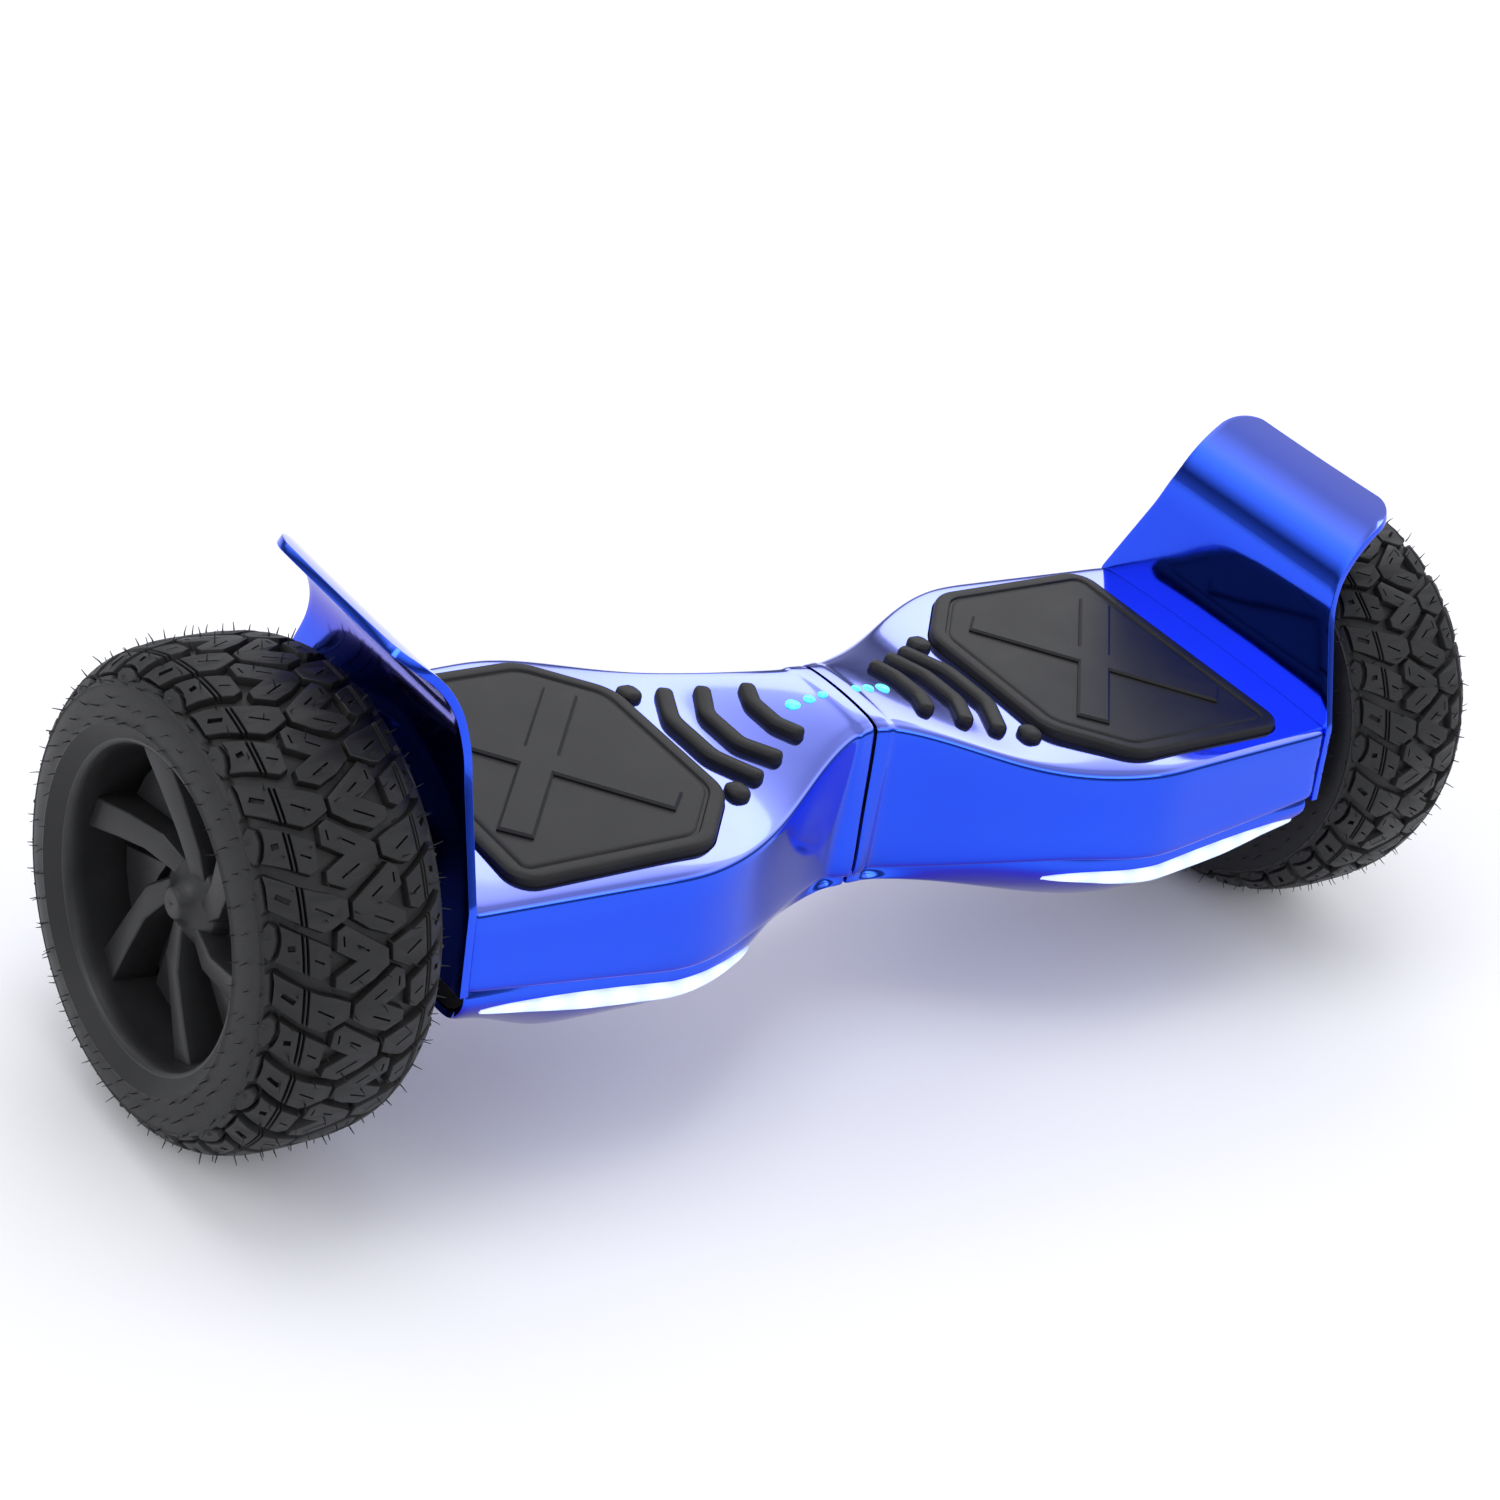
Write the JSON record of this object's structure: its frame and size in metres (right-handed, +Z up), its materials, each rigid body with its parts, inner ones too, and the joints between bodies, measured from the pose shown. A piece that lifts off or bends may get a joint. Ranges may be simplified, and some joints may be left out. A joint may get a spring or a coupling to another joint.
{
  "type": "self balancing hoverboard",
  "caption": "Self-balancing board: waisted plated halves that twist on a shared tube, sprung rubber foot pads, tall fenders, lamp strips and off-road hub-motor wheels.",
  "frame": {"origin": "on the floor under the middle of the board, midway between the wheels and between front and back", "axes": "+X from the left wheel to the right wheel along the axles, -Y to the front, +Z up"},
  "size_m": [0.6904, 0.205, 0.2357],
  "materials": {
    "blue_plated_plastic": "moulded ABS, mirror-bright tinted electroplate",
    "pad_rubber": "moulded silicone rubber, fine satin texture",
    "dark_plastic": "moulded, fine texture",
    "circuit_board": "green solder mask",
    "light_board": "white solder mask with light-emitting diodes",
    "status_lens": "frosted, lit from behind",
    "lamp_lens": "frosted polycarbonate, lit from behind",
    "cast_aluminium": "die cast",
    "steel": "turned",
    "dark_steel": "black oxide",
    "winding_copper": "enamelled wire on a laminated core",
    "magnet_steel": "nickel plated",
    "rim_coating": "die cast, dark grey powder coat",
    "tyre_rubber": "moulded, matte",
    "tube_rubber": "butyl, matte",
    "bush_bronze": "sintered",
    "battery_wrap": "cells in blue heat-shrink wrap",
    "harness_sleeve": "braided sleeve"
  },
  "bodies": {
    "left_half": {"left_frame": "cast_aluminium", "left_top_cover": "blue_plated_plastic", "left_bottom_cover": "blue_plated_plastic", "left_fender": "blue_plated_plastic", "left_fender_screws": "dark_steel", "left_cover_screws": "dark_steel", "left_sensor_board": "circuit_board", "left_grip_strips": "pad_rubber", "left_status_lenses": "status_lens", "left_light_lenses": "lamp_lens", "left_light_boards": "light_board", "left_axle": "steel", "left_axle_clamp": "cast_aluminium", "left_clamp_bolts": "dark_steel", "left_stator": "winding_copper", "left_pad_feet": "pad_rubber", "pivot_tube": "steel", "pivot_circlip": "dark_steel", "battery_pack": "battery_wrap", "wiring_harness": "harness_sleeve"},
    "right_half": {"right_frame": "cast_aluminium", "right_top_cover": "blue_plated_plastic", "right_bottom_cover": "blue_plated_plastic", "right_fender": "blue_plated_plastic", "right_fender_screws": "dark_steel", "right_cover_screws": "dark_steel", "right_sensor_board": "circuit_board", "right_grip_strips": "pad_rubber", "right_status_lenses": "status_lens", "right_light_lenses": "lamp_lens", "right_light_boards": "light_board", "right_axle": "steel", "right_axle_clamp": "cast_aluminium", "right_clamp_bolts": "dark_steel", "right_stator": "winding_copper", "right_pad_feet": "pad_rubber", "pivot_bushes": "bush_bronze", "stop_screw": "dark_steel", "main_board": "circuit_board", "charging_port": "dark_plastic"},
    "left_wheel": {"left_rim": "rim_coating", "left_tyre": "tyre_rubber", "left_inner_tube": "tube_rubber", "left_magnets": "magnet_steel", "left_motor_cover": "rim_coating", "left_motor_screws": "steel", "left_bearings": "steel"},
    "right_wheel": {"right_rim": "rim_coating", "right_tyre": "tyre_rubber", "right_inner_tube": "tube_rubber", "right_magnets": "magnet_steel", "right_motor_cover": "rim_coating", "right_motor_screws": "steel", "right_bearings": "steel"},
    "left_pad": {"left_footpad": "pad_rubber", "left_pad_plate": "dark_plastic"},
    "right_pad": {"right_footpad": "pad_rubber", "right_pad_plate": "dark_plastic"},
    "power_button": {"power_button": "dark_plastic"},
    "port_cap": {"port_cap": "pad_rubber"}
  },
  "joints": [
    {"name": "twist", "type": "hinge", "parent": "left_half", "child": "right_half", "pos_m": [0, 0, 0.1025], "axis": [1, 0, 0], "range_deg": [-12, 12]},
    {"name": "left_wheel_spin", "type": "hinge", "parent": "left_half", "child": "left_wheel", "pos_m": [-0.3023, 0, 0.1025], "axis": [1, 0, 0], "continuous": true},
    {"name": "right_wheel_spin", "type": "hinge", "parent": "right_half", "child": "right_wheel", "pos_m": [0.3023, 0, 0.1025], "axis": [1, 0, 0], "continuous": true},
    {"name": "left_pad_press", "type": "slide", "parent": "left_half", "child": "left_pad", "axis": [0, 0, -1], "range_m": [0, 0.0015], "stiffness_N_per_m": 60000, "deforming": ["left_pad_feet"]},
    {"name": "right_pad_press", "type": "slide", "parent": "right_half", "child": "right_pad", "axis": [0, 0, -1], "range_m": [0, 0.0015], "stiffness_N_per_m": 60000, "deforming": ["right_pad_feet"]},
    {"name": "power_press", "type": "slide", "parent": "right_half", "child": "power_button", "axis": [0, -1, 0], "range_m": [0, 0.0012], "stiffness_N_per_m": 1500},
    {"name": "port_cap_hinge", "type": "hinge", "parent": "right_half", "child": "port_cap", "pos_m": [0.172, 0.09235, 0.1235], "axis": [1, 0, 0], "range_deg": [0, 110]}
  ]
}
